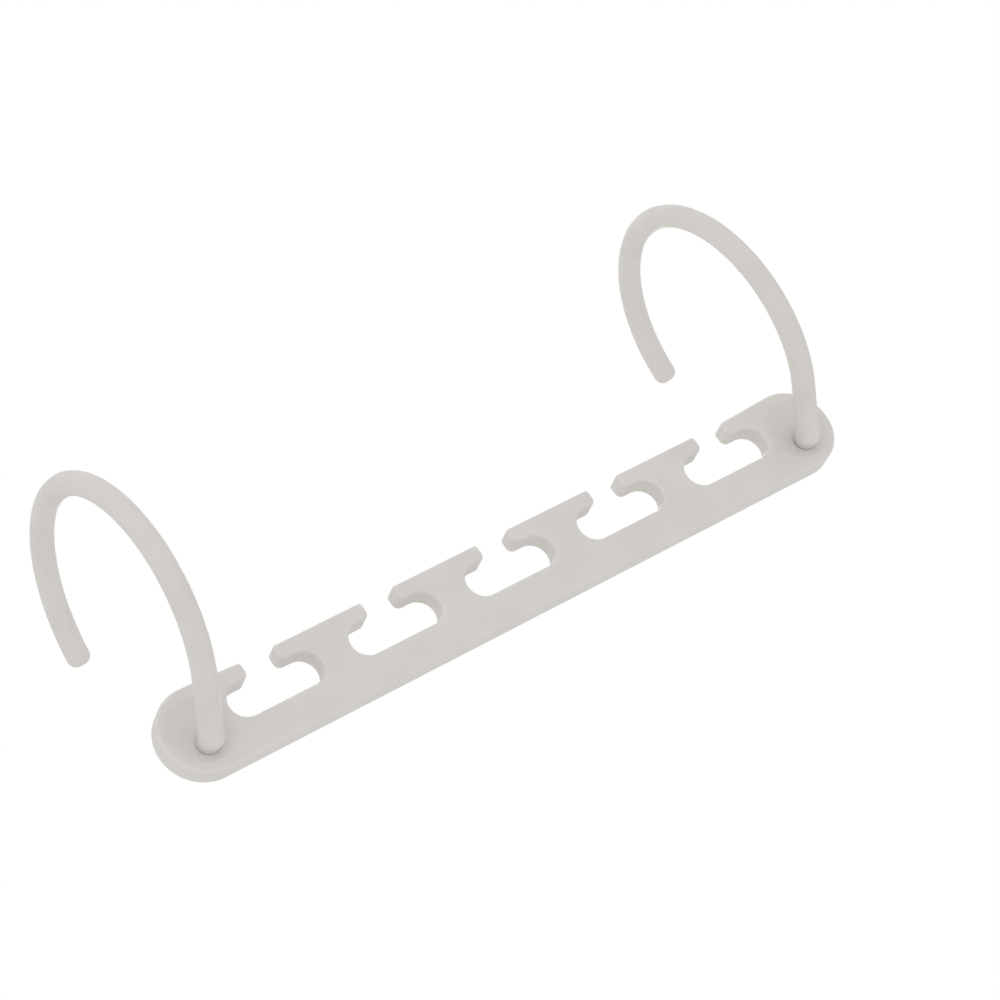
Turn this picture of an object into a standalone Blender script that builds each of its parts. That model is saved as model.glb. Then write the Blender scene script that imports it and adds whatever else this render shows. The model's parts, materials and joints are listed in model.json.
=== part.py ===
"""Multi-hole clothes hanger: a slotted plastic bar with a swivelling ring hook at each end.

Units are metres and +Z is up. The bar runs along X and its front face looks along -Y.
The origin is where a wardrobe rail carries the hanger: midway between the two hooks,
under the tops of their rings. Each hook turns about Y on a snap-in pin of its own.
"""
import math

import bmesh
import bpy
from mathutils import Matrix

# The bar
BAR_LENGTH = 0.2300
BAR_HEIGHT = 0.0245
BAR_THICKNESS = 0.0068
BAR_EDGE_ROUND = 0.0010

# The T-slots share the length between the end lobes, and each is open at the top
SLOT_COUNT = 5
LOBE_LENGTH = 0.02215
WEB_WIDTH = 0.0102
RAIL_DEPTH = 0.0097
ARM_DEPTH = 0.0048
SLOT_SIDE_STRAIGHT = 0.0002
MOUTH_WIDTH = 0.0102

# The round end lobes and the shallow dish in the front of each
LOBE_RISE = 0.0009
LOBE_STRAIGHT = 0.0004
LOBE_FLAT = 0.0010
DISH_MARGIN = 0.0030
DISH_DEPTH = 0.0014

# The hooks: a ring of round rod, a straight shank and a round foot that turns in the dish
RING_RADIUS = 0.03765
ROD_RADIUS = 0.0034
RING_ABOVE_PIVOT = 0.0039
RING_CENTRE_BEHIND_FRONT = 0.0006
RING_TIP_ANGLE = math.radians(8.7)
FOOT_RADIUS = 0.0036
PIVOT_BEYOND_LOBE_CENTRE = 0.00105
PIVOT_BELOW_LOBE_CENTRE = 0.0041

# The snap fit of each hook in its lobe
PIN_RADIUS = 0.0026
BARB_RADIUS = 0.0034
BARB_LAND = 0.0004
BARB_LEAD_RADIUS = 0.0023
HEAD_POCKET_DEPTH = 0.0024
HEAD_POCKET_MARGIN = 0.0006
HEAD_RECESS = 0.0003
SLIT_WIDTH = 0.0009
SLIT_DEPTH = 0.0042
RUNNING_CLEARANCE = 0.0003

# Each hook's end of the bar, its lean about its pin at rest, and its ring's turn about Z
HOOK_SIDES = {"left_hook": -1, "right_hook": 1}
HOOK_LEANS = {"left_hook": math.radians(-0.4), "right_hook": math.radians(-3.3)}
HOOK_TURNS = {"left_hook": math.radians(1.7), "right_hook": math.radians(-4.6)}

# Fineness of round forms, and how far a cutter runs past what it cuts
QUARTER_TURN = math.radians(90)
OUTLINE_ARC_STEP = math.radians(15)
EDGE_ROUND_SEGMENTS = 3
RING_ARC_STEP = math.radians(5.5)
ROD_BEVEL_RESOLUTION = 6
ROD_TIP_RINGS = 4
TURNED_STEPS = 24
BALL_STEPS = 9
DISH_SEGMENTS = 48
DISH_RINGS = 64
SHARP_EDGE_ANGLE = math.radians(40)
WELD_DISTANCE = 0.000001
CUTTER_OVERRUN = 0.002

# Colour in linear light, roughness and metallic value of the moulded plastic
PLASTIC_COLOUR = (0.640, 0.618, 0.585, 1.0)
PLASTIC_ROUGHNESS = 0.42
PLASTIC_METALLIC = 0.0

# Sizes and places that follow from those above
SLOT_PITCH = (BAR_LENGTH - 2 * LOBE_LENGTH + WEB_WIDTH) / SLOT_COUNT
SLOT_WIDTH = SLOT_PITCH - WEB_WIDTH
SLOT_CEILING = BAR_HEIGHT - ARM_DEPTH
SLOT_CORNER_RADIUS = (SLOT_CEILING - RAIL_DEPTH - SLOT_SIDE_STRAIGHT) / 2
LOBE_TOP = BAR_HEIGHT + LOBE_RISE
LOBE_RADIUS = (LOBE_TOP - LOBE_STRAIGHT) / 2
DISH_RADIUS = LOBE_RADIUS - DISH_MARGIN
DISH_BALL_RADIUS = (DISH_RADIUS ** 2 + DISH_DEPTH ** 2) / (2 * DISH_DEPTH)
FOOT_REACH = DISH_BALL_RADIUS - FOOT_RADIUS - RUNNING_CLEARANCE
FOOT_STANDOFF = DISH_BALL_RADIUS - DISH_DEPTH - math.sqrt(FOOT_REACH ** 2 - PIVOT_BELOW_LOBE_CENTRE ** 2)
PIVOT_X = BAR_LENGTH / 2 - LOBE_RADIUS + PIVOT_BEYOND_LOBE_CENTRE
PIVOT_HEIGHT = LOBE_TOP / 2 - PIVOT_BELOW_LOBE_CENTRE
RING_CENTRE_ABOVE_PIVOT = RING_ABOVE_PIVOT + RING_RADIUS
BAR_FRONT_Y = -RING_CENTRE_BEHIND_FRONT
BAR_BOTTOM_Z = ROD_RADIUS - RING_RADIUS - RING_CENTRE_ABOVE_PIVOT - PIVOT_HEIGHT
HEAD_START = BAR_THICKNESS - HEAD_POCKET_DEPTH + RUNNING_CLEARANCE
HEAD_END = BAR_THICKNESS - HEAD_RECESS


def clear_scene():
    """Remove every object, so that the model starts from an empty scene."""
    for scene_object in list(bpy.data.objects):
        bpy.data.objects.remove(scene_object, do_unlink=True)


def make_collection(name):
    collection = bpy.data.collections.new(name)
    bpy.context.scene.collection.children.link(collection)
    return collection


def plastic_material(name):
    """Off-white polypropylene with a satin surface."""
    material = bpy.data.materials.new(name)
    material.use_nodes = True
    shader = material.node_tree.nodes["Principled BSDF"]
    shader.inputs["Base Color"].default_value = PLASTIC_COLOUR
    shader.inputs["Roughness"].default_value = PLASTIC_ROUGHNESS
    shader.inputs["Metallic"].default_value = PLASTIC_METALLIC
    return material


def corner_arc(before, corner, after, radius):
    """Points of the arc that rounds one corner of an outline, from side to side."""
    if radius <= 0:
        return [corner]
    in_x, in_z = corner[0] - before[0], corner[1] - before[1]
    out_x, out_z = after[0] - corner[0], after[1] - corner[1]
    heading_in = math.atan2(in_z, in_x)
    turn = math.atan2(in_x * out_z - in_z * out_x, in_x * out_x + in_z * out_z)
    side = math.copysign(1, turn)
    setback = radius * math.tan(abs(turn) / 2)
    start_x = corner[0] - setback * math.cos(heading_in)
    start_z = corner[1] - setback * math.sin(heading_in)
    centre_x = start_x - side * radius * math.sin(heading_in)
    centre_z = start_z + side * radius * math.cos(heading_in)
    steps = max(2, round(abs(turn) / OUTLINE_ARC_STEP))
    points = []
    for step in range(steps + 1):
        heading = heading_in + turn * step / steps
        x = centre_x + side * radius * math.sin(heading)
        z = centre_z - side * radius * math.cos(heading)
        points.append((x, z))
    return points


def rounded_outline(corners):
    """Round each (x, z, radius) corner of a closed outline with its own arc."""
    points = []
    count = len(corners)
    for index, (x, z, radius) in enumerate(corners):
        before = corners[index - 1][:2]
        after = corners[(index + 1) % count][:2]
        points.extend(corner_arc(before, (x, z), after, radius))
    return points


def slot_corners(middle):
    """Corners of one T-slot, from the arm on its right round to the arm on its left.

    The arms' tips stay sharp here, and the bar's edge rounding softens them.
    """
    half_mouth = MOUTH_WIDTH / 2
    half_slot = SLOT_WIDTH / 2
    return [
        (middle + half_mouth, BAR_HEIGHT, 0),
        (middle + half_mouth, SLOT_CEILING, 0),
        (middle + half_slot, SLOT_CEILING, SLOT_CORNER_RADIUS),
        (middle + half_slot, RAIL_DEPTH, SLOT_CORNER_RADIUS),
        (middle - half_slot, RAIL_DEPTH, SLOT_CORNER_RADIUS),
        (middle - half_slot, SLOT_CEILING, SLOT_CORNER_RADIUS),
        (middle - half_mouth, SLOT_CEILING, 0),
        (middle - half_mouth, BAR_HEIGHT, 0),
    ]


def bar_outline():
    """The bar seen from the front: two round ends with a row of T-slots between them."""
    half_length = BAR_LENGTH / 2
    slope_start = half_length - LOBE_RADIUS - LOBE_FLAT
    corners = [
        (-half_length, 0, LOBE_RADIUS),
        (half_length, 0, LOBE_RADIUS),
        (half_length, LOBE_TOP, LOBE_RADIUS),
        (slope_start, LOBE_TOP, 0),
    ]
    for index in reversed(range(SLOT_COUNT)):
        corners.extend(slot_corners((index - (SLOT_COUNT - 1) / 2) * SLOT_PITCH))
    corners.append((-slope_start, LOBE_TOP, 0))
    corners.append((-half_length, LOBE_TOP, LOBE_RADIUS))
    return rounded_outline(corners)


def join_flat_caps(shape, half_thickness):
    """Make each flat side of an extruded outline one face, thin slivers included."""
    for height in (-half_thickness, half_thickness):
        cap = []
        for face in shape.faces:
            if all(abs(vertex.co.z - height) < WELD_DISTANCE for vertex in face.verts):
                cap.append(face)
        bmesh.ops.dissolve_faces(shape, faces=cap)


def mesh_object_from_curve(curve_object, collection):
    """Replace a curve by a mesh object of the same name, with its caps welded on."""
    bpy.context.view_layer.update()
    depsgraph = bpy.context.evaluated_depsgraph_get()
    mesh = bpy.data.meshes.new_from_object(curve_object.evaluated_get(depsgraph))
    shape = bmesh.new()
    shape.from_mesh(mesh)
    bmesh.ops.remove_doubles(shape, verts=shape.verts, dist=WELD_DISTANCE)
    if curve_object.data.dimensions == "2D":
        join_flat_caps(shape, curve_object.data.extrude)
    bmesh.ops.recalc_face_normals(shape, faces=shape.faces)
    shape.to_mesh(mesh)
    shape.free()
    name = curve_object.name
    placed = curve_object.matrix_world.copy()
    bpy.data.objects.remove(curve_object, do_unlink=True)
    mesh_object = bpy.data.objects.new(name, mesh)
    mesh_object.matrix_world = placed
    collection.objects.link(mesh_object)
    return mesh_object


def add_boolean(target, tool, operation):
    modifier = target.modifiers.new(f"{operation.lower()} {tool.name}", "BOOLEAN")
    modifier.object = tool
    modifier.operation = operation
    modifier.solver = "EXACT"


def turned_tool(name, profile, parent, location, collection):
    """A turned shape on a pin's axis, from (radius, depth behind the bar's front) points."""
    mesh = bpy.data.meshes.new(name)
    vertices = [(radius, 0, -depth) for radius, depth in profile]
    edges = [(index, index + 1) for index in range(len(profile) - 1)]
    mesh.from_pydata(vertices, edges, [])
    tool = bpy.data.objects.new(name, mesh)
    tool.parent = parent
    tool.location = location
    tool.rotation_euler = (QUARTER_TURN, 0, 0)
    tool.hide_render = True
    tool.display_type = "WIRE"
    screw = tool.modifiers.new("turn", "SCREW")
    screw.steps = TURNED_STEPS
    screw.render_steps = TURNED_STEPS
    screw.use_merge_vertices = True
    screw.merge_threshold = WELD_DISTANCE
    collection.objects.link(tool)
    return tool


def bore_profile():
    """The hole through a lobe: the bearing in front, and the pocket for the barb behind."""
    bearing_radius = PIN_RADIUS + RUNNING_CLEARANCE
    pocket_radius = BARB_RADIUS + HEAD_POCKET_MARGIN
    pocket_start = BAR_THICKNESS - HEAD_POCKET_DEPTH
    return [
        (0, -CUTTER_OVERRUN),
        (bearing_radius, -CUTTER_OVERRUN),
        (bearing_radius, pocket_start),
        (pocket_radius, pocket_start),
        (pocket_radius, BAR_THICKNESS + CUTTER_OVERRUN),
        (0, BAR_THICKNESS + CUTTER_OVERRUN),
    ]


def pin_profile():
    """A hook's foot: its ball, the pin behind it, and the barb that snaps behind the bar."""
    swing = QUARTER_TURN + math.acos(PIN_RADIUS / FOOT_RADIUS)
    points = [(0, -FOOT_STANDOFF - FOOT_RADIUS)]
    for step in range(1, BALL_STEPS + 1):
        angle = QUARTER_TURN - swing * step / BALL_STEPS
        radius = FOOT_RADIUS * math.cos(angle)
        points.append((radius, -FOOT_STANDOFF - FOOT_RADIUS * math.sin(angle)))
    points.extend([
        (PIN_RADIUS, HEAD_START),
        (BARB_RADIUS, HEAD_START),
        (BARB_RADIUS, HEAD_START + BARB_LAND),
        (BARB_LEAD_RADIUS, HEAD_END),
        (0, HEAD_END),
    ])
    return points


def dish_tool(name, parent, side, collection):
    """A ball that hollows the front of a lobe into a shallow dish."""
    mesh = bpy.data.meshes.new(name)
    shape = bmesh.new()
    bmesh.ops.create_uvsphere(
        shape, u_segments=DISH_SEGMENTS, v_segments=DISH_RINGS, radius=DISH_BALL_RADIUS,
        matrix=Matrix.Rotation(QUARTER_TURN, 4, "X"))
    shape.to_mesh(mesh)
    shape.free()
    tool = bpy.data.objects.new(name, mesh)
    tool.parent = parent
    tool.location = (side * PIVOT_X, DISH_DEPTH - DISH_BALL_RADIUS, LOBE_TOP / 2)
    tool.hide_render = True
    tool.display_type = "WIRE"
    collection.objects.link(tool)
    return tool


def slit_tool(name, parent, collection):
    """A thin box that splits the end of a pin, so that its barb can spring inwards."""
    mesh = bpy.data.meshes.new(name)
    shape = bmesh.new()
    depth = SLIT_DEPTH + CUTTER_OVERRUN
    size = Matrix.Diagonal((SLIT_WIDTH, depth, 2 * BARB_RADIUS + CUTTER_OVERRUN, 1))
    bmesh.ops.create_cube(shape, size=1, matrix=size)
    shape.to_mesh(mesh)
    shape.free()
    tool = bpy.data.objects.new(name, mesh)
    tool.parent = parent
    tool.location = (0, HEAD_END - SLIT_DEPTH + depth / 2, 0)
    tool.hide_render = True
    tool.display_type = "WIRE"
    collection.objects.link(tool)
    return tool


def make_bar(parts, cutters):
    """The bar: a flat outline with rounded edges, a dish and a stepped bore in each lobe."""
    curve = bpy.data.curves.new("bar", "CURVE")
    curve.dimensions = "2D"
    curve.fill_mode = "BOTH"
    curve.extrude = BAR_THICKNESS / 2
    outline = bar_outline()
    spline = curve.splines.new("POLY")
    spline.points.add(len(outline) - 1)
    for point, (x, z) in zip(spline.points, outline):
        point.co = (x, z, 0, 1)
    spline.use_cyclic_u = True
    curve_object = bpy.data.objects.new("bar", curve)
    parts.objects.link(curve_object)
    curve_object.rotation_euler = (QUARTER_TURN, 0, 0)
    curve_object.location = (0, BAR_THICKNESS / 2, 0)
    bar = mesh_object_from_curve(curve_object, parts)
    bar.data.transform(bar.matrix_world)
    bar.matrix_world = Matrix.Translation((0, BAR_FRONT_Y, BAR_BOTTOM_Z))
    bar.data.materials.append(plastic_material("bar_plastic"))

    bevel = bar.modifiers.new("rounded edges", "BEVEL")
    bevel.width = BAR_EDGE_ROUND
    bevel.segments = EDGE_ROUND_SEGMENTS
    bevel.limit_method = "ANGLE"
    bevel.angle_limit = SHARP_EDGE_ANGLE
    bevel.use_clamp_overlap = False
    bar.modifiers.new("whole triangles for the cuts", "TRIANGULATE")

    for name, side in HOOK_SIDES.items():
        dish_tool(f"{name}_dish", bar, side, cutters)
        axis_point = (side * PIVOT_X, 0, PIVOT_HEIGHT)
        turned_tool(f"{name}_bore", bore_profile(), bar, axis_point, cutters)
    cut = bar.modifiers.new("dishes and bores", "BOOLEAN")
    cut.operation = "DIFFERENCE"
    cut.operand_type = "COLLECTION"
    cut.collection = cutters
    cut.solver = "EXACT"
    return bar


def rod_path():
    """Points (y, z, share of full radius) of a hook's rod, from the ring's tip to the foot."""
    centre_y = RING_CENTRE_BEHIND_FRONT
    centre_z = RING_CENTRE_ABOVE_PIVOT
    to_foot_y = -FOOT_STANDOFF - centre_y
    reach = math.hypot(to_foot_y, centre_z)
    foot_angle = math.atan2(-centre_z, to_foot_y) % math.tau
    shank_angle = foot_angle - math.acos(RING_RADIUS / reach)
    dome_angle = ROD_RADIUS / RING_RADIUS

    path = []
    for step in range(1, ROD_TIP_RINGS + 1):
        swing = QUARTER_TURN * step / (ROD_TIP_RINGS + 1)
        angle = RING_TIP_ANGLE + dome_angle * (1 - math.cos(swing))
        path.append((angle, math.sin(swing)))
    first = RING_TIP_ANGLE + dome_angle
    steps = round((shank_angle - first) / RING_ARC_STEP)
    for step in range(steps + 1):
        path.append((first + (shank_angle - first) * step / steps, 1))
    points = []
    for angle, share in path:
        y = centre_y + RING_RADIUS * math.cos(angle)
        z = centre_z + RING_RADIUS * math.sin(angle)
        points.append((y, z, share))
    points.append((-FOOT_STANDOFF, 0, 1))
    return points


def make_hook(name, bar, parts, tools):
    """One hook: the rod of its ring and shank, joined to the round foot and split pin."""
    turn = HOOK_TURNS[name]
    curve = bpy.data.curves.new(name, "CURVE")
    curve.dimensions = "3D"
    curve.bevel_depth = ROD_RADIUS
    curve.bevel_resolution = ROD_BEVEL_RESOLUTION
    curve.use_fill_caps = True
    points = rod_path()
    spline = curve.splines.new("POLY")
    spline.points.add(len(points) - 1)
    for point, (y, z, share) in zip(spline.points, points):
        point.co = (-y * math.sin(turn), y * math.cos(turn), z, 1)
        point.radius = share
    curve_object = bpy.data.objects.new(name, curve)
    parts.objects.link(curve_object)
    hook = mesh_object_from_curve(curve_object, parts)
    hook.data.shade_smooth()
    hook.data.set_sharp_from_angle(angle=SHARP_EDGE_ANGLE)
    hook.data.materials.append(plastic_material(f"{name}_plastic"))
    hook.parent = bar
    hook.location = (HOOK_SIDES[name] * PIVOT_X, 0, PIVOT_HEIGHT)
    hook.rotation_euler = (0, HOOK_LEANS[name], 0)

    foot = turned_tool(f"{name}_foot", pin_profile(), hook, (0, 0, 0), tools)
    add_boolean(hook, foot, "UNION")
    add_boolean(hook, slit_tool(f"{name}_slit", hook, tools), "DIFFERENCE")
    return hook


def build():
    clear_scene()
    parts = make_collection("multi_hole_hanger")
    bar = make_bar(parts, make_collection("bar_cutters"))
    hook_tools = make_collection("hook_tools")
    for name in HOOK_SIDES:
        make_hook(name, bar, parts, hook_tools)


build()
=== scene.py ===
import json
import math

import bmesh
import bpy
from mathutils import Matrix, Vector


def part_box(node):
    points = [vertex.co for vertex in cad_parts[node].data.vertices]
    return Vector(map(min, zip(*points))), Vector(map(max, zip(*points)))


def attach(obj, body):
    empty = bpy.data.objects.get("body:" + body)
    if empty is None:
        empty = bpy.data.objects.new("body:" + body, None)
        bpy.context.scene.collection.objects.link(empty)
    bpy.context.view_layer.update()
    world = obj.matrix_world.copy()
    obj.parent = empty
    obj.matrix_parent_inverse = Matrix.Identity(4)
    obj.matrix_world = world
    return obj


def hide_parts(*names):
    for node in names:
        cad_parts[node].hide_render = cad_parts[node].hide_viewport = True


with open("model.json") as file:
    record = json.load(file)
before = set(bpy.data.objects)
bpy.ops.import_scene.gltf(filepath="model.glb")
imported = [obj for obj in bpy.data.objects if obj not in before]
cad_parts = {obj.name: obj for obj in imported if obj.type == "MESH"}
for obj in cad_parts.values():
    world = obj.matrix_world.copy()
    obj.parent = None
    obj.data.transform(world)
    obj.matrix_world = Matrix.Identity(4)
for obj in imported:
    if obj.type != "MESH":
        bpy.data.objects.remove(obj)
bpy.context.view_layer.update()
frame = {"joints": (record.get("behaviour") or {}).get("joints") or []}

# The bar: one flat strip of off-white polypropylene, moulded in one shot with its five
# T-slots and its two round end lobes. Its edges are rounded, and the front of each lobe is
# dished for a hook's round foot, whose pin snaps into the hole behind it.
bar_low, bar_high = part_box("bar")
bar_front, bar_back, bar_bottom = bar_low.y, bar_high.y, bar_low.z
bar_length = bar_high.x - bar_low.x
lobe_top = bar_high.z - bar_low.z
arm_drop, slope_run = 0.0009, 0.0010
arm_top = lobe_top - arm_drop
slot_pitch, slot_width, mouth_width = 0.03918, 0.02898, 0.0102
slot_floor, slot_ceiling = 0.0097, 0.0197
slot_corner, mouth_corner, lobe_corner = 0.0049, 0.0020, 0.0125
corner_steps, lobe_steps = 14, 24
edge_round, edge_steps, flat_border = 0.0010, 6, 0.0001
dish_radius, dish_depth, rim_round = 0.0095, 0.0014, 0.0014
dish_ball = (dish_radius ** 2 + dish_depth ** 2) / (2 * dish_depth)
dish_sides, dish_steps, rim_steps = 72, 10, 4
bore_radius, pocket_radius, pocket_start, pocket_flare = 0.0029, 0.0040, 0.0044, 0.0004
bore_round, bore_steps = 0.00015, 3
corner_angle = math.radians(40)
same_place = 0.000001
pins = {joint["child"]: Vector(joint["pos_m"]) for joint in frame["joints"]}


def outline_corners():
    """Corners of the bar's outline as (x, height, corner radius), from its lower left end round."""
    half = bar_length / 2
    slope_start = half - lobe_corner - slope_run
    corners = [(-half, 0, lobe_corner), (half, 0, lobe_corner), (half, lobe_top, lobe_corner),
               (slope_start, lobe_top, 0)]
    for place in (2, 1, 0, -1, -2):
        middle = place * slot_pitch
        for side in (1, -1):
            lip, end = middle + side * mouth_width / 2, middle + side * slot_width / 2
            half_slot = [(lip, arm_top, 0), (lip, slot_ceiling, mouth_corner),
                         (end, slot_ceiling, slot_corner), (end, slot_floor, slot_corner)]
            corners.extend(half_slot[::side])
    return corners + [(-slope_start, lobe_top, 0), (-half, lobe_top, lobe_corner)]


def bar_blank(shape):
    """The slotted strip as a closed block with rounded edges, which are marked for a painted highlight."""
    corners = outline_corners()
    vertices = [shape.verts.new((x, bar_front, bar_bottom + height)) for x, height, radius in corners]
    shape.faces.new(vertices)
    for vertex, (x, height, radius) in zip(vertices, corners):
        if radius:
            steps = lobe_steps if radius == lobe_corner else corner_steps
            bmesh.ops.bevel(shape, geom=[vertex], offset=radius, offset_type="OFFSET", segments=steps,
                            profile=0.5, affect="VERTICES", material=-1)
    front = list(shape.faces)
    border = edge_round + flat_border
    skin = front
    straight = bar_back - bar_front - 2 * border
    for depth in (border, straight, border):
        grown = bmesh.ops.extrude_face_region(shape, geom=skin)["geom"]
        if skin is not front:
            bmesh.ops.delete(shape, geom=skin, context="FACES_ONLY")
        skin = [part for part in grown if isinstance(part, bmesh.types.BMFace)]
        moved = [part for part in grown if isinstance(part, bmesh.types.BMVert)]
        bmesh.ops.translate(shape, verts=moved, vec=(0, depth, 0))
    bmesh.ops.recalc_face_normals(shape, faces=shape.faces)
    sharp = [edge for edge in shape.edges if edge.calc_face_angle(0) > corner_angle]
    rounding = bmesh.ops.bevel(shape, geom=sharp, offset=edge_round, offset_type="OFFSET",
                               segments=edge_steps, profile=0.5, affect="EDGES", clamp_overlap=False,
                               material=-1)
    # Vertices that lie wholly on the rounded edges are marked for a painted highlight, paler than the
    # faces beside them.
    highlight_layer = shape.verts.layers.float.new("painted_highlight")
    rounded = set(rounding["faces"])
    for face in rounded:
        for vertex in face.verts:
            vertex[highlight_layer] = 1.0 if rounded.issuperset(vertex.link_faces) else 0.0
    bmesh.ops.remove_doubles(shape, verts=shape.verts, dist=same_place)


def open_flat_side(shape, y):
    """Takes out one flat side of the bar inside a narrow border, and returns the edges round it."""
    side = max((face for face in shape.faces if abs(face.calc_center_median().y - y) < same_place),
               key=lambda face: len(face.verts))
    bmesh.ops.inset_individual(shape, faces=[side], thickness=flat_border)
    edges = list(side.edges)
    bmesh.ops.delete(shape, geom=[side], context="FACES_ONLY")
    return edges


def widen(shape, ring, centre, radius, new_centre, new_radius):
    """Extrudes a ring of edges into the next one, of another radius round another centre."""
    grown = bmesh.ops.extrude_edge_only(shape, edges=ring)["geom"]
    vertices = [part for part in grown if isinstance(part, bmesh.types.BMVert)]
    share = new_radius / radius
    bmesh.ops.scale(shape, verts=vertices, vec=(share, 1, share), space=Matrix.Translation(-centre))
    bmesh.ops.translate(shape, verts=vertices, vec=new_centre - centre)
    edges = [part for part in grown if isinstance(part, bmesh.types.BMEdge)
             and part.verts[0] in vertices and part.verts[1] in vertices]
    return edges, vertices


def bored_lobe(shape, pin):
    """The dish in the front of one lobe and the stepped hole behind it, and its two open rings."""
    middle = Vector((pin.x, bar_front, bar_bottom + lobe_top / 2))
    hole = Vector((pin.x, bar_front, pin.z))
    land = math.sqrt((dish_ball + rim_round) ** 2 - (dish_ball - dish_depth + rim_round) ** 2)
    slope = math.asin(land / (dish_ball + rim_round))
    bmesh.ops.create_circle(shape, cap_ends=False, radius=land, segments=dish_sides,
                            matrix=Matrix.Translation(middle) @ Matrix.Rotation(math.radians(90), 4, "X"))
    ring = [edge for edge in shape.edges if not edge.link_faces and edge.verts[0].co.x * pin.x > 0]
    front_ring = ring
    centre, radius = middle, land
    for step in range(1, rim_steps + 1):
        tilt = slope * step / rim_steps
        new_radius = land - rim_round * math.sin(tilt)
        ring, vertices = widen(shape, ring, centre, radius, centre, new_radius)
        radius = new_radius
        for vertex in vertices:
            vertex.co.y = bar_front + rim_round * (1 - math.cos(tilt))
    rim_radius = radius
    for step in range(1, dish_steps + 1):
        new_centre = middle.lerp(hole, step / dish_steps)
        new_radius = rim_radius + (bore_radius - rim_radius) * step / dish_steps
        ring, vertices = widen(shape, ring, centre, radius, new_centre, new_radius)
        centre, radius = new_centre, new_radius
        for vertex in vertices:
            away = math.hypot(vertex.co.x - middle.x, vertex.co.z - middle.z)
            vertex.co.y = bar_front + dish_depth - dish_ball + math.sqrt(dish_ball ** 2 - away ** 2)
    creases = [ring]
    thickness = bar_back - bar_front
    for new_radius, depth in ((bore_radius, pocket_start), (pocket_radius, pocket_start),
                              (pocket_radius, thickness), (pocket_radius + pocket_flare, thickness)):
        ring, vertices = widen(shape, ring, centre, radius, centre, new_radius)
        radius = new_radius
        for vertex in vertices:
            vertex.co.y = bar_front + depth
        creases.append(ring)
    return front_ring, ring, creases[:-1]


shape = bmesh.new()
bar_blank(shape)
front_edges = open_flat_side(shape, bar_front)
back_edges = open_flat_side(shape, bar_back)
bore_rims = []
for pin in pins.values():
    front_ring, back_ring, creases = bored_lobe(shape, pin)
    front_edges.extend(front_ring)
    back_edges.extend(back_ring)
    for ring in creases:
        bore_rims.extend(ring)
bmesh.ops.triangle_fill(shape, use_beauty=True, edges=front_edges, normal=(0, -1, 0))
bmesh.ops.triangle_fill(shape, use_beauty=True, edges=back_edges, normal=(0, 1, 0))
bmesh.ops.bevel(shape, geom=bore_rims, offset=bore_round, offset_type="OFFSET", segments=bore_steps,
                profile=0.5, affect="EDGES", material=-1)
bmesh.ops.recalc_face_normals(shape, faces=shape.faces)
for face in shape.faces:
    face.smooth = True
bar_mesh = bpy.data.meshes.new("slotted_bar")
shape.to_mesh(bar_mesh)
shape.free()
bar = bpy.data.objects.new("slotted_bar", bar_mesh)
bpy.context.scene.collection.objects.link(bar)


def link(tree, outlet, inlet):
    """Joins one shader socket to another."""
    tree.links.new(outlet, inlet)


def node(tree, kind, values, label):
    """Adds one labelled shader node with the given socket values."""
    made = tree.nodes.new(kind)
    made.label = label
    for name, value in values.items():
        made.inputs[name].default_value = value
    return made


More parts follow.
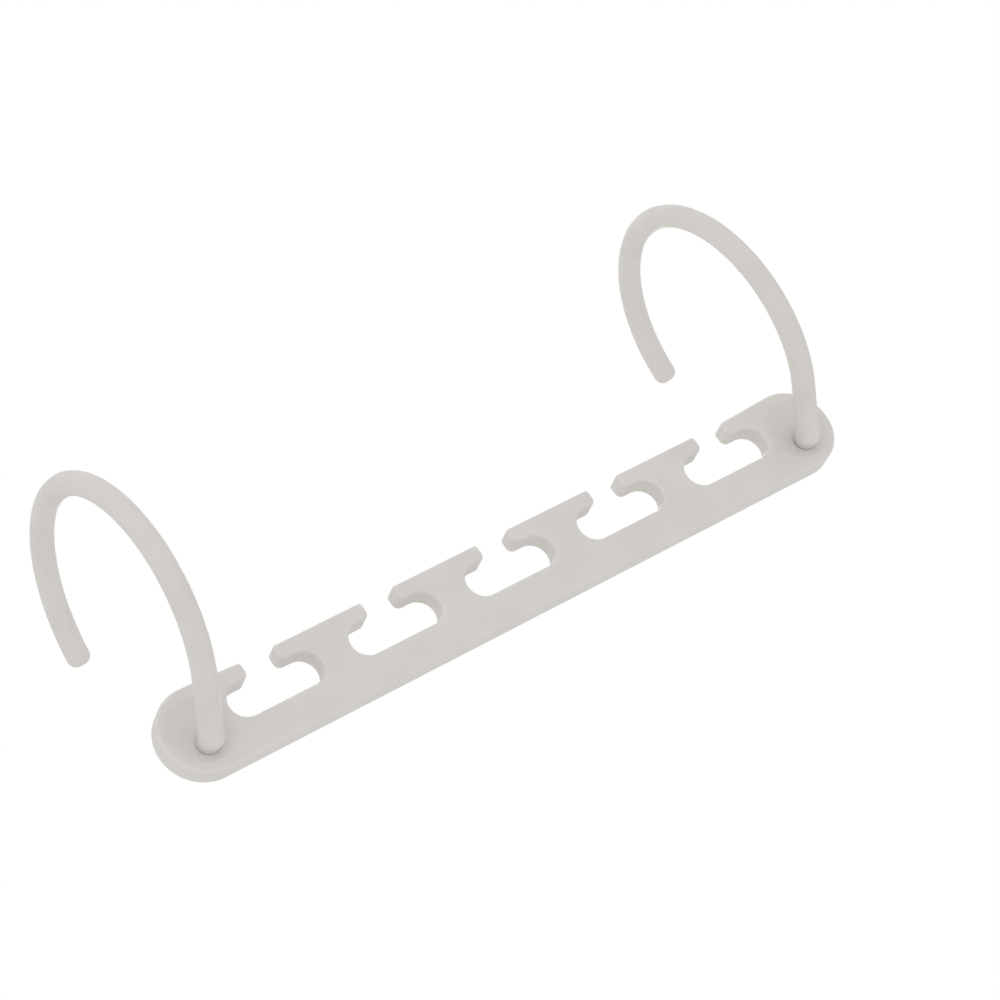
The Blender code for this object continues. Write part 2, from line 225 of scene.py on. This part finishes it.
def satin_group():
    """Colour mottle, satin mould grain and a painted highlight on rounded edges and parting lines of
    moulded polypropylene, as one group.
    """
    tree = bpy.data.node_groups.new("satin_moulding", "ShaderNodeTree")
    # The second colour is a paler copy of the first: a painted highlight for rounded edges and parting
    # lines.
    for name, kind, value in (("Colour", "NodeSocketColor", (0.64, 0.618, 0.585, 1)),
                              ("Highlight Colour", "NodeSocketColor", (0.664, 0.642, 0.608, 1)),
                              ("Mottle", "NodeSocketFloat", 0.03),
                              ("Highlight Share", "NodeSocketFloat", 0.0),
                              ("Roughness Low", "NodeSocketFloat", 0.52),
                              ("Roughness High", "NodeSocketFloat", 0.60)):
        socket = tree.interface.new_socket(name=name, in_out="INPUT", socket_type=kind)
        socket.default_value = value
    for name, kind in (("Colour", "NodeSocketColor"), ("Roughness", "NodeSocketFloat"),
                       ("Height", "NodeSocketFloat")):
        tree.interface.new_socket(name=name, in_out="OUTPUT", socket_type=kind)
    inlets = tree.nodes.new("NodeGroupInput")
    outlets = tree.nodes.new("NodeGroupOutput")
    place = tree.nodes.new("ShaderNodeTexCoord")

    cloud = node(tree, "ShaderNodeTexNoise", {"Scale": 70, "Detail": 4, "Roughness": 0.55}, "melt cloud")
    link(tree, place.outputs["Object"], cloud.inputs["Vector"])
    swing = node(tree, "ShaderNodeMapRange",
                 {"From Min": 0.3, "From Max": 0.7, "To Min": -1, "To Max": 1}, "swing")
    link(tree, cloud.outputs["Fac"], swing.inputs["Value"])
    amount = node(tree, "ShaderNodeMath", {}, "mottle amount")
    amount.operation = "MULTIPLY"
    link(tree, swing.outputs["Result"], amount.inputs[0])
    link(tree, inlets.outputs["Mottle"], amount.inputs[1])
    gain = node(tree, "ShaderNodeMath", {1: 1.0}, "gain")
    gain.operation = "ADD"
    link(tree, amount.outputs[0], gain.inputs[0])
    # Where the marked share is 1, the colour turns into the paler copy, a painted highlight.
    tinted = node(tree, "ShaderNodeMix", {}, "painted edge highlight")
    tinted.data_type = "RGBA"
    link(tree, inlets.outputs["Highlight Share"], tinted.inputs[0])
    link(tree, inlets.outputs["Colour"], tinted.inputs[6])
    link(tree, inlets.outputs["Highlight Colour"], tinted.inputs[7])
    mottled = node(tree, "ShaderNodeVectorMath", {}, "mottled colour")
    mottled.operation = "SCALE"
    link(tree, tinted.outputs[2], mottled.inputs[0])
    link(tree, gain.outputs[0], mottled.inputs["Scale"])
    link(tree, mottled.outputs[0], outlets.inputs["Colour"])

    polish = node(tree, "ShaderNodeTexNoise", {"Scale": 260, "Detail": 3, "Roughness": 0.5},
                  "polish patches")
    link(tree, place.outputs["Object"], polish.inputs["Vector"])
    rough = node(tree, "ShaderNodeMapRange", {"From Min": 0.3, "From Max": 0.7}, "roughness")
    link(tree, polish.outputs["Fac"], rough.inputs["Value"])
    link(tree, inlets.outputs["Roughness Low"], rough.inputs["To Min"])
    link(tree, inlets.outputs["Roughness High"], rough.inputs["To Max"])
    link(tree, rough.outputs["Result"], outlets.inputs["Roughness"])

    grain = node(tree, "ShaderNodeTexNoise", {"Scale": 5200, "Detail": 2, "Roughness": 0.6}, "mould grain")
    link(tree, place.outputs["Object"], grain.inputs["Vector"])
    sink = node(tree, "ShaderNodeTexNoise", {"Scale": 130, "Detail": 2, "Roughness": 0.5}, "sink marks")
    link(tree, place.outputs["Object"], sink.inputs["Vector"])
    relief = node(tree, "ShaderNodeMath", {1: 6.0}, "slow relief")
    relief.operation = "MULTIPLY_ADD"
    link(tree, sink.outputs["Fac"], relief.inputs[0])
    link(tree, grain.outputs["Fac"], relief.inputs[2])
    link(tree, relief.outputs[0], outlets.inputs["Height"])
    return tree


satin_moulding = satin_group()


def plastic(name):
    """Satin off-white polypropylene for one moulding, with a painted highlight on its marked edges and
    parting lines.
    """
    material = bpy.data.materials.new(name)
    material.use_nodes = True
    tree = material.node_tree
    shader = tree.nodes["Principled BSDF"]
    shader.inputs["Metallic"].default_value = 0.0
    shader.inputs["IOR"].default_value = 1.49
    surface = tree.nodes.new("ShaderNodeGroup")
    surface.node_tree = satin_moulding
    # The edge mark read here sets where the painted highlight goes.
    edge = tree.nodes.new("ShaderNodeAttribute")
    edge.attribute_name = "painted_highlight"
    link(tree, edge.outputs["Fac"], surface.inputs["Highlight Share"])
    link(tree, surface.outputs["Colour"], shader.inputs["Base Color"])
    link(tree, surface.outputs["Roughness"], shader.inputs["Roughness"])
    bump = node(tree, "ShaderNodeBump", {"Strength": 0.35, "Distance": 0.00001}, "grain")
    link(tree, surface.outputs["Height"], bump.inputs["Height"])
    link(tree, bump.outputs["Normal"], shader.inputs["Normal"])
    return material


bar_mesh.materials.append(plastic("bar_polypropylene"))
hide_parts("bar")
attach(bar, "bar")

# The two hooks: each one moulding of the same polypropylene, an open ring of round rod with a
# straight shank and a round foot, and a fine parting line along the rod. The split, barbed pin
# behind the foot was pushed through the lobe's hole, sprang out behind it and lets the hook swivel.
ring_radius, rod_radius, foot_radius = 0.03765, 0.00336, 0.0036
ring_behind, ring_rise, foot_forward = 0.0006, 0.04154, 0.00279
ring_centre = Vector((0, ring_behind, ring_rise))
foot = Vector((0, -foot_forward, 0))
ring_tip, tip_round = math.radians(9.87), 0.0026
foot_flare, blunt_end = 0.005, 0.02
rod_sides, ring_steps, tip_steps, flare_steps, foot_steps = 32, 104, 6, 6, 10
parting_height, parting_width = 0.00004, 0.00012
parting_lines = (math.radians(90), math.radians(270))
neck_radius, pin_radius, barb_radius, point_radius = 0.0033, 0.0026, 0.0034, 0.0023
neck_end, pin_start, barb_start, barb_land, pin_end = 0.0004, 0.00062, 0.0047, 0.0051, 0.0065
pin_sides, pin_round, pin_angle = 48, 0.00012, math.radians(30)
slit_width, slit_length, slit_height, slit_middle = 0.0009, 0.0062, 0.0100, 0.0054
crease_angle = math.radians(35)
# The lean along the bar is each hook's swivel at rest, and the turn is the set of its moulding.
hook_lean = {"left_hook": math.radians(-0.4), "right_hook": math.radians(-3.3)}
hook_turn = {"left_hook": math.radians(1.7), "right_hook": math.radians(-4.6)}


def next_ring(shape, edges, grow, shift=None, swing=0):
    """Extrudes an open ring of the rod, grown about its middle, shifted or swung about the ring."""
    grown = bmesh.ops.extrude_edge_only(shape, edges=edges)["geom"]
    vertices = [part for part in grown if isinstance(part, bmesh.types.BMVert)]
    middle = sum((vertex.co for vertex in vertices), Vector()) / len(vertices)
    bmesh.ops.scale(shape, verts=vertices, vec=(grow, grow, grow), space=Matrix.Translation(-middle))
    if shift:
        bmesh.ops.translate(shape, verts=vertices, vec=shift)
    if swing:
        bmesh.ops.rotate(shape, verts=vertices, cent=ring_centre, matrix=Matrix.Rotation(swing, 3, "X"))
    return [part for part in grown if isinstance(part, bmesh.types.BMEdge)
            and part.verts[0] in vertices and part.verts[1] in vertices]


def rod(shape):
    """The ring, shank and round foot as one tube, drawn from the ring's tip to the foot."""
    highlight_layer = shape.verts.layers.float.new("painted_highlight")
    flank = parting_width / rod_radius
    turns = [math.tau * step / rod_sides for step in range(rod_sides)]
    turns += [line + offset for line in parting_lines for offset in (-flank, flank)]
    vertices = []
    for turn in sorted(turns):
        # The parting line's ridge is marked for the same painted highlight as the bar's rounded edges.
        parted = any(math.isclose(turn, line) for line in parting_lines)
        radius = rod_radius + (parting_height if parted else 0)
        vertex = shape.verts.new((radius * math.cos(turn),
                                  ring_centre.y + ring_radius + radius * math.sin(turn), ring_centre.z))
        vertex[highlight_layer] = 1.0 if parted else 0.0
        vertices.append(vertex)
    ring = [shape.edges.new(pair) for pair in zip(vertices, vertices[1:] + vertices[:1])]
    start = ring_tip + tip_round / ring_radius
    bmesh.ops.rotate(shape, verts=vertices, cent=ring_centre, matrix=Matrix.Rotation(start, 3, "X"))

    tip, radius, along = ring, rod_radius, 0
    for step in range(1, tip_steps + 1):
        swing = math.radians(90) * step / tip_steps
        new_radius = rod_radius - tip_round * (1 - math.cos(swing))
        new_along = tip_round * math.sin(swing)
        tip = next_ring(shape, tip, new_radius / radius, swing=(along - new_along) / ring_radius)
        radius, along = new_radius, new_along
    bmesh.ops.contextual_create(shape, geom=tip)

    to_foot = foot - ring_centre
    reach = to_foot.length
    shank_turn = math.atan2(to_foot.z, to_foot.y) % math.tau - math.acos(ring_radius / reach)
    swept = bmesh.ops.spin(shape, geom=ring + vertices, cent=ring_centre, axis=(1, 0, 0),
                           angle=shank_turn - start, steps=ring_steps, use_merge=False)
    end = [part for part in swept["geom_last"] if isinstance(part, bmesh.types.BMEdge)]
    down = Vector((0, -math.sin(shank_turn), math.cos(shank_turn)))
    length = math.sqrt(reach ** 2 - ring_radius ** 2)
    flare_start = length - foot_flare
    stations = [(flare_start, rod_radius)]
    for step in range(1, flare_steps + 1):
        share = (1 - math.cos(math.pi * step / flare_steps)) / 2
        stations.append((flare_start + foot_flare * step / flare_steps,
                         rod_radius + (foot_radius - rod_radius) * share))
    for step in range(1, foot_steps + 1):
        swing = math.radians(90) * step / foot_steps
        stations.append((length + foot_radius * math.sin(swing),
                         foot_radius * max(math.cos(swing), blunt_end)))
    radius, along = rod_radius, 0
    for new_along, new_radius in stations:
        end = next_ring(shape, end, new_radius / radius, shift=down * (new_along - along))
        radius, along = new_radius, new_along
    bmesh.ops.contextual_create(shape, geom=end)
    bmesh.ops.remove_doubles(shape, verts=shape.verts, dist=same_place)
    bmesh.ops.recalc_face_normals(shape, faces=shape.faces)


def turned_pin(shape):
    """The neck behind the foot, its pin and the barb, turned about the pin's own axis."""
    points = [(0, foot.y), (neck_radius, foot.y), (neck_radius, neck_end), (pin_radius, pin_start),
              (pin_radius, barb_start), (barb_radius, barb_start), (barb_radius, barb_land),
              (point_radius, pin_end), (0, pin_end)]
    vertices = [shape.verts.new((radius, y, 0)) for radius, y in points]
    edges = [shape.edges.new(pair) for pair in zip(vertices, vertices[1:])]
    bmesh.ops.spin(shape, geom=vertices + edges, cent=(0, 0, 0), axis=(0, 1, 0), angle=math.tau,
                   steps=pin_sides, use_merge=True)
    bmesh.ops.remove_doubles(shape, verts=shape.verts, dist=same_place)
    rims = [edge for edge in shape.edges if edge.calc_face_angle(0) > pin_angle]
    bmesh.ops.bevel(shape, geom=rims, offset=pin_round, offset_type="OFFSET", segments=2, profile=0.5,
                    affect="EDGES", material=-1)
    bmesh.ops.recalc_face_normals(shape, faces=shape.faces)


def barb_slit(shape):
    """The slit that lets the barb spring inwards as it goes through the hole."""
    bmesh.ops.create_cube(shape, size=1, matrix=Matrix.Translation((0, slit_middle, 0))
                          @ Matrix.Diagonal((slit_width, slit_length, slit_height, 1)))


def solid(name, make, place):
    """A scratch object of one closed form, for joining to or cutting from a hook."""
    shape = bmesh.new()
    make(shape)
    bmesh.ops.transform(shape, matrix=place, verts=shape.verts)
    mesh = bpy.data.meshes.new(name)
    shape.to_mesh(mesh)
    shape.free()
    made = bpy.data.objects.new(name, mesh)
    bpy.context.scene.collection.objects.link(made)
    return made


def combine(target, tool, operation):
    """Joins a tool to a target, or cuts it out, and leaves one plain mesh."""
    modifier = target.modifiers.new(operation.lower(), "BOOLEAN")
    modifier.object = tool
    modifier.operation = operation
    modifier.solver = "EXACT"
    bpy.context.view_layer.update()
    joined = bpy.data.meshes.new_from_object(target.evaluated_get(bpy.context.evaluated_depsgraph_get()))
    target.modifiers.clear()
    target.data = joined
    bpy.data.objects.remove(tool, do_unlink=True)


for name, pin in pins.items():
    place = Matrix.Translation((pin.x, bar_front, pin.z)) @ Matrix.Rotation(hook_lean[name], 4, "Y")
    hook = solid(f"{name}_moulding", rod, place @ Matrix.Rotation(hook_turn[name], 4, "Z"))
    combine(hook, solid("pin", turned_pin, place), "UNION")
    combine(hook, solid("slit", barb_slit, place), "DIFFERENCE")
    hook.data.shade_smooth()
    hook.data.set_sharp_from_angle(angle=crease_angle)
    hook.data.materials.clear()
    hook.data.materials.append(plastic(f"{name}_polypropylene"))
    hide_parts(name)
    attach(hook, name)

# The studio: a wide pale floor well below the hanger, a white surround that gives most of the
# light, a soft lamp behind the hanger on the right and two weak ones in front on the left. All
# of it is plain, so that colours render as written.
floor_height, floor_reach, floor_grey = -0.90, 4, 0.86
lamp_width = 0.5
hanger_middle = Vector((0, 0, -0.05))
floor_mesh = bpy.data.meshes.new("studio_floor")
shape = bmesh.new()
bmesh.ops.create_grid(shape, x_segments=4, y_segments=4, size=floor_reach,
                      matrix=Matrix.Translation((0, 0, floor_height)))
shape.to_mesh(floor_mesh)
shape.free()
floor = bpy.data.objects.new("studio_floor", floor_mesh)
bpy.context.scene.collection.objects.link(floor)
floor_paint = bpy.data.materials.new("pale_floor")
floor_paint.use_nodes = True
floor_shader = floor_paint.node_tree.nodes["Principled BSDF"]
floor_shader.inputs["Base Color"].default_value = (floor_grey, floor_grey, floor_grey, 1)
floor_shader.inputs["Roughness"].default_value = 0.9
floor_mesh.materials.append(floor_paint)

world = bpy.data.worlds.new("white_surround")
bpy.context.scene.world = world
world.use_nodes = True
tree = world.node_tree
tree.nodes.clear()
outlet = tree.nodes.new("ShaderNodeOutputWorld")
# Seen straight or mirrored, the surround is pure white, and the light it gives is set apart.
seen = node(tree, "ShaderNodeBackground", {"Color": (1, 1, 1, 1), "Strength": 1.0}, "seen white")
lighting = node(tree, "ShaderNodeBackground", {"Color": (1, 1, 1, 1), "Strength": 0.95}, "surround light")
rays = tree.nodes.new("ShaderNodeLightPath")
camera_or_glossy = node(tree, "ShaderNodeMath", {}, "camera or glossy")
camera_or_glossy.operation = "MAXIMUM"
link(tree, rays.outputs["Is Camera Ray"], camera_or_glossy.inputs[0])
link(tree, rays.outputs["Is Glossy Ray"], camera_or_glossy.inputs[1])
seeing_ray = node(tree, "ShaderNodeMath", {}, "or transmission")
seeing_ray.operation = "MAXIMUM"
link(tree, camera_or_glossy.outputs[0], seeing_ray.inputs[0])
link(tree, rays.outputs["Is Transmission Ray"], seeing_ray.inputs[1])
mixed = tree.nodes.new("ShaderNodeMixShader")
link(tree, seeing_ray.outputs[0], mixed.inputs[0])
link(tree, lighting.outputs[0], mixed.inputs[1])
link(tree, seen.outputs[0], mixed.inputs[2])
link(tree, mixed.outputs[0], outlet.inputs["Surface"])


def soft_lamp(name, place, watts):
    """A square soft lamp that looks at the middle of the hanger."""
    light = bpy.data.lights.new(name, "AREA")
    light.shape = "SQUARE"
    light.size = lamp_width
    light.energy = watts
    lamp = bpy.data.objects.new(name, light)
    lamp.location = place
    lamp.rotation_euler = (hanger_middle - Vector(place)).to_track_quat("-Z", "Y").to_euler()
    bpy.context.scene.collection.objects.link(lamp)


soft_lamp("front_above", (-0.50, -0.70, 0.45), 0.3)
soft_lamp("front_below", (-0.61, -1.03, -0.42), 0.6)
soft_lamp("back_right", (0.50, 0.78, 0.31), 5.4)

# The camera looks from the photograph's viewpoint: in front of the bar, below it and to its left.
camera_data = bpy.data.cameras.new("photo_camera")
camera_data.lens = 118.07
camera_data.sensor_width = 36
camera = bpy.data.objects.new("photo_camera", camera_data)
camera.location = (-0.43016, -0.74561, -0.31594)
camera.rotation_euler = (math.radians(110.6885), math.radians(34.1468), math.radians(-18.5579))
bpy.context.scene.collection.objects.link(camera)
bpy.context.scene.camera = camera
bpy.context.scene.view_settings.view_transform = "Standard"
